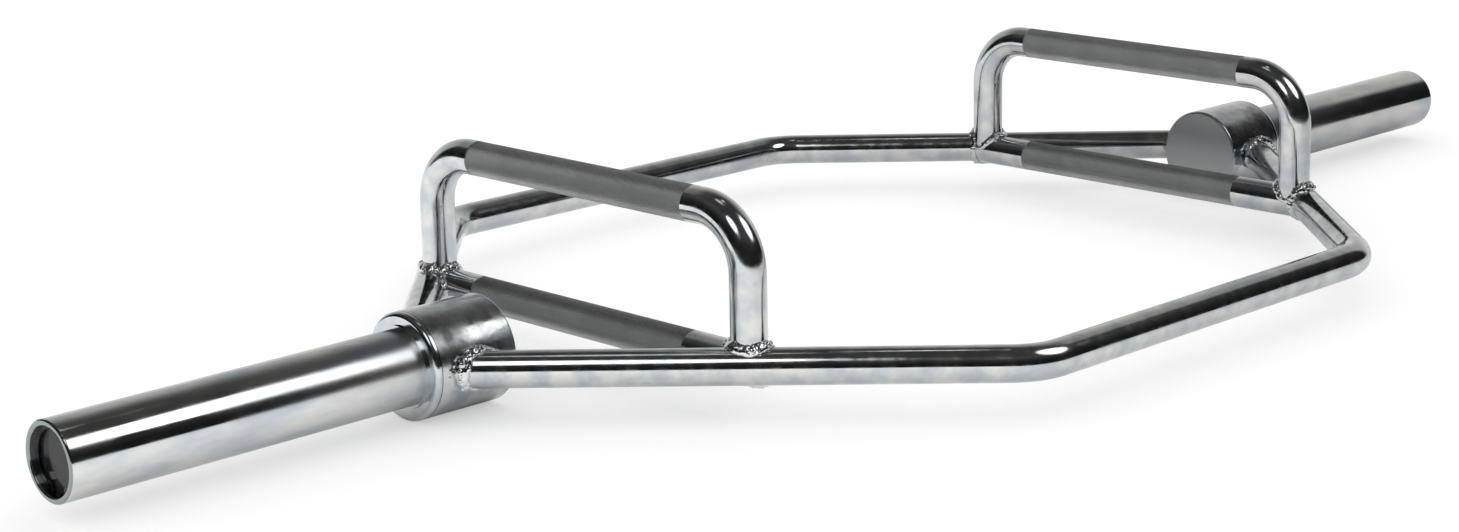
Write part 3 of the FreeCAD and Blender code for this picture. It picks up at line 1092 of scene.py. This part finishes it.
        def point_at(angle: float) -> SeamPoint:
            """The seam's point at an angle round the upright.

            Args:
                angle: The angle, from the bar's length.

            Returns:
                The point.
            """
            normal = Vector((math.cos(angle), math.sin(angle), 0))
            place = foot + normal * radius
            off_rail = (place - axis_point).dot(across)
            off_grip = place.x - foot.x
            beyond_grip = (place.y - foot.y) * run.value > radius * self.handle_side_share
            nearest = abs(off_rail) if beyond_grip else min(abs(off_rail), abs(off_grip))
            nearest = min(nearest, radius * self.handle_reach_share)
            place.z = SIZES.rod_height + math.sqrt(radius**2 - nearest**2)
            fullness = 1 - self.handle_thinner_aside * (nearest / radius) ** 2
            return SeamPoint(place, (normal + UP).normalized(), fullness)

        return self.seam(point_at)

    def beads(self, name: str, seams: list[list[SeamPoint]], lump: float) -> Object:
        """Lay lumps of metal along some seams and melt them into beads.

        Args:
            name: The piece's name.
            seams: The seams' points.
            lump: The usual size of a lump.

        Returns:
            The piece.
        """
        chance = random.Random(name)
        work = Workpiece()
        for point in chain(*seams):
            size = lump * point.fullness * chance.uniform(*self.lump_range)
            width = size * chance.uniform(*self.width_range)
            height = size * chance.uniform(*self.height_range)
            facing = point.outward.to_track_quat("Z", "Y").to_matrix().to_4x4()
            turn = Matrix.Rotation(chance.uniform(0, math.pi), 4, "Z")
            work.lump(point.place, Vector((size, width, height)), facing @ turn)
            for _ in range(self.crumples):
                small = size * self.crumple_size * chance.uniform(*self.crumple_range)
                aside = [chance.uniform(-self.crumple_aside, self.crumple_aside) for _ in range(2)]
                place = point.place + facing.to_3x3() @ (Vector((*aside, self.crumple_out)) * size)
                work.lump(place, Vector((small, small, small * self.crumple_height)), facing)
        piece = work.finish(name, [WELD_PLATING], self.sharp_angle)
        melt = piece.modifiers.new("melt", "REMESH")
        melt.mode = "VOXEL"
        melt.voxel_size = self.voxel * MM
        melt.use_smooth_shade = True
        return piece


@dataclass
class EndDressing:
    """Finishes of one end's turned pieces, which keep their CAD shapes."""

    side: Side

    def build(self) -> None:
        """Dress the hub, the sleeve and the pieces inside it."""
        finishes: dict[str, Finish] = {
            "hub": HUB_PLATING,
            "sleeve": SLEEVE_PLATING,
            "sleeve_flange": FLANGE_PLATING,
            "end_disc": END_DISC_BLACK,
            "end_circlip": SPRING_STEEL,
            "axle": BARE_STEEL,
            "thrust_washer": BARE_STEEL,
            "retaining_washer": BARE_STEEL,
            "axle_circlip": SPRING_STEEL,
            "inner_bushing": BRONZE,
            "outer_bushing": BRONZE,
        }
        for name, finish in finishes.items():
            node = frame["nodes"][f"{self.side.label}_{name}"]
            for slot in node.material_slots:
                slot.material = finish.material()
            LOG.info("dressed %s", node.name)


@dataclass(frozen=True)
class SoftBox:
    """A lamp's round white front, which the plating mirrors.

    It hangs at its place and faces its aim, in metres, and a brightness of 1 is plain white.
    """

    name: str
    place: tuple[float, float, float]
    aim: tuple[float, float, float]
    width: float
    brightness: float


Steps = tuple[tuple[float, float], ...]


@dataclass
class Studio:
    """The pale floor, the white surroundings and what stands round the set for the plating to mirror.

    Sizes are in metres. The floor's mirrored glow fades from left to right, and is shaded close to the bar.
    The wall behind the bar lies between two bearings, in degrees. The steps give the room's brightness from
    the floor, at 0, up to the point overhead, at 1.
    """

    floor_size: float = 14
    floor_drop: float = 0.0002
    floor_white: float = 1.05
    floor_glow: float = 0.45
    mirrored_glow: tuple[float, float] = (0.60, 0.07)
    fade_reach: float = 0.6
    shade_reach: float = 0.15
    shade_samples: int = 8
    tent_radius: float = 6
    tent_sides: tuple[int, int] = (96, 48)
    tent_foot: float = 0.001
    wall_right: float = -8
    wall_left: float = 105
    wall_softness: float = 5
    room_tint: tuple[float, float, float] = (1.0, 1.0, 0.98)
    wall_steps: Steps = (
        (0.0, 0.76),
        (0.17, 0.64),
        (0.33, 0.48),
        (0.45, 0.32),
        (0.55, 0.16),
        (0.64, 0.07),
        (0.75, 0.045),
        (1.0, 0.05),
    )
    dark_steps: Steps = ((0.0, 0.012), (0.17, 0.014), (0.33, 0.03), (0.5, 0.07), (0.66, 0.05), (1.0, 0.05))
    lamp_sides: int = 64
    boxes: tuple[SoftBox, ...] = (
        SoftBox("right_soft_box", (0.50, -1.02, 1.30), (-0.55, -0.05, 0.05), width=0.94, brightness=2.2),
        SoftBox("left_soft_box", (-1.567, -0.816, 1.765), (-0.33, -0.13, 0.08), width=0.95, brightness=2.2),
        SoftBox("small_lamp", (0.345, 0.19, 2.2), (-0.3, -0.14, 0.13), width=0.18, brightness=1.8),
        SoftBox("top_lamp", (-0.23, 0.22, 2.2), (-0.3, 0, 0.03), width=0.46, brightness=0.7),
    )

    def build(self) -> None:
        """Set up the floor, the world and the mirrored surroundings."""
        self.floor()
        self.surroundings()
        self.tent()
        for box in self.boxes:
            self.soft_box(box)
        bpy.context.scene.view_settings.view_transform = "Standard"
        LOG.info("made the studio")

    def add_stage(self, name: str, bm: BMesh, material: Material) -> Object:
        """Put a shape on the set.

        Args:
            name: Its name.
            bm: Its mesh, which is used up.
            material: Its material.

        Returns:
            The object.
        """
        mesh = bpy.data.meshes.new(name)
        bm.to_mesh(mesh)
        bm.free()
        mesh.materials.append(material)
        piece = bpy.data.objects.new(name, mesh)
        bpy.context.scene.collection.objects.link(piece)
        return piece

    def only_mirrored(self, piece: Object) -> None:
        """Let only shiny surfaces see a piece of the set.

        Args:
            piece: The piece.
        """
        piece.visible_camera = False
        piece.visible_diffuse = False
        piece.visible_shadow = False

    def floor(self) -> None:
        """A white floor that keeps the bar's shadow, and that shiny surfaces see with painted light and
        painted shade.
        """
        made, board = new_material("studio_floor")
        lit = self.floor_white - self.floor_glow
        rays = board.add("ShaderNodeLightPath").outputs
        mirrored = board.work_out("MAXIMUM", rays["Is Glossy Ray"], rays["Is Transmission Ray"])
        # Painted light for mirrored rays: the floor glows brighter at the left than at the right, and painted
        # shade dims that glow close to the bar.
        x, _, _ = board.split(board.coordinates())
        fade = board.rescale(x, -self.fade_reach, self.fade_reach, *self.mirrored_glow)
        shade = board.add(
            "ShaderNodeAmbientOcclusion", distance=self.shade_reach, samples=self.shade_samples
        )
        shaded = board.work_out("MULTIPLY", shade.outputs["AO"], fade)
        dimmed = board.work_out("MULTIPLY", mirrored, shaded)
        strength = board.work_out("MULTIPLY_ADD", rays["Is Camera Ray"], self.floor_glow, dimmed)
        paint = board.add("ShaderNodeBsdfDiffuse", color=(lit, lit, lit, 1))
        glow = board.add("ShaderNodeEmission", color=WHITE)
        board.join(strength, glow.inputs["Strength"])
        both = board.add("ShaderNodeAddShader")
        board.join(paint.outputs["BSDF"], both.inputs[0])
        board.join(glow.outputs["Emission"], both.inputs[1])
        board.surface(both.outputs["Shader"])
        bm = bmesh.new()
        place = Matrix.Translation((0, 0, -self.floor_drop))
        bmesh.ops.create_grid(bm, x_segments=1, y_segments=1, size=self.floor_size / 2, matrix=place)
        self.add_stage("floor", bm, made)

    def surroundings(self) -> None:
        """Even white light from all round."""
        world = bpy.data.worlds.new("white_surroundings")
        world.use_nodes = True
        board = NodeBoard(world.node_tree)
        light = board.add("ShaderNodeBackground", color=WHITE, strength=1.0)
        output = board.add("ShaderNodeOutputWorld")
        board.join(light.outputs["Background"], output.inputs["Surface"])
        bpy.context.scene.world = world

    def soft_box(self, box: SoftBox) -> None:
        """Hang up one lamp.

        Args:
            box: The lamp.
        """
        made, board = new_material(f"{box.name}_front")
        light = board.add("ShaderNodeEmission", color=WHITE, strength=box.brightness)
        board.surface(light.outputs["Emission"])
        bm = bmesh.new()
        facing = (Vector(box.aim) - Vector(box.place)).to_track_quat("Z", "Y").to_matrix().to_4x4()
        place = Matrix.Translation(box.place) @ facing
        radius = box.width / 2
        bmesh.ops.create_circle(bm, cap_ends=True, segments=self.lamp_sides, radius=radius, matrix=place)
        self.only_mirrored(self.add_stage(box.name, bm, made))

    def tent(self) -> None:
        """The room as the plating sees it: a pale wall behind the bar, and dark in front and above."""
        made, board = new_material("studio_room")
        x, y, z = board.split(board.coordinates())
        rise = board.work_out("ARCSINE", board.work_out("DIVIDE", z, self.tent_radius))
        height = board.rescale(rise, 0, math.pi / 2)
        bearing = board.work_out("ARCTAN2", y, x)
        soft = self.wall_softness
        edges = []
        for middle, half in ((self.wall_right, soft), (self.wall_left, -soft)):
            edges.append(board.rescale(bearing, math.radians(middle - half), math.radians(middle + half)))
        behind = board.work_out("MULTIPLY", *edges)
        dark = self.shades(board, height, self.dark_steps)
        pale = self.shades(board, height, self.wall_steps)
        light = board.add("ShaderNodeEmission", strength=1.0)
        board.join(board.mix_colour(behind, dark, pale), light.inputs["Color"])
        board.surface(light.outputs["Emission"])
        bm = bmesh.new()
        round_it, up_it = self.tent_sides
        bmesh.ops.create_uvsphere(bm, u_segments=round_it, v_segments=up_it, radius=self.tent_radius)
        everything = [*bm.verts, *bm.edges, *bm.faces]
        foot = UP * self.tent_foot
        bmesh.ops.bisect_plane(bm, geom=everything, plane_co=foot, plane_no=UP, clear_inner=True)
        self.only_mirrored(self.add_stage("studio_room", bm, made))

    def shades(self, board: NodeBoard, height: NodeSocket, steps: Steps) -> NodeSocket:
        """Shade one side of the room.

        Args:
            board: The room's nodes.
            height: From the floor, at 0, up to the point overhead, at 1.
            steps: Heights and their brightness.

        Returns:
            The colour.
        """
        ramp = board.add("ShaderNodeValToRGB")
        stops = ramp.color_ramp.elements
        ready = len(stops)
        for index, (position, level) in enumerate(steps):
            stop = stops[index] if index < ready else stops.new(position)
            stop.position = position
            stop.color = (*(level * tint for tint in self.room_tint), 1)
        board.join(height, ramp.inputs["Fac"])
        return ramp.outputs["Color"]


@dataclass(frozen=True)
class PhotoCamera:
    """The photograph's camera: place in metres, angles in radians, focal length and width in pixels."""

    place: tuple[float, float, float] = (-1.45428, -1.32798, 0.51592)
    yaw: float = 0.7989
    pitch: float = 0.2490
    roll: float = 0.0222
    focal_length: float = 2756.2
    image_width: float = 1459
    sensor: float = 36
    clip_end: float = 50

    def build(self) -> None:
        """Set up the camera and make it the scene's own."""
        level = math.cos(self.pitch)
        forward = Vector((math.cos(self.yaw) * level, math.sin(self.yaw) * level, -math.sin(self.pitch)))
        flat_right = Vector((math.sin(self.yaw), -math.cos(self.yaw), 0))
        flat_down = forward.cross(flat_right)
        right = flat_right * math.cos(self.roll) + flat_down * math.sin(self.roll)
        down = flat_down * math.cos(self.roll) - flat_right * math.sin(self.roll)
        lens = bpy.data.cameras.new("photo_camera")
        lens.sensor_fit = "HORIZONTAL"
        lens.sensor_width = self.sensor
        lens.lens = self.sensor * self.focal_length / self.image_width
        lens.clip_end = self.clip_end
        camera = bpy.data.objects.new("photo_camera", lens)
        turn = Matrix((right, -down, -forward)).transposed().to_4x4()
        camera.matrix_world = Matrix.Translation(self.place) @ turn
        bpy.context.scene.collection.objects.link(camera)
        bpy.context.scene.camera = camera
        LOG.info("made the camera")


def main() -> None:
    """Build every sub-assembly, the studio and the camera."""
    logging.basicConfig(level=logging.INFO, format="%(message)s")
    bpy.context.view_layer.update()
    RailPair().build()
    for side in Side:
        GripSet(side).build()
        WeldSet(side).build()
        EndDressing(side).build()
    Studio().build()
    PhotoCamera().build()


if __name__ == "__main__":
    main()
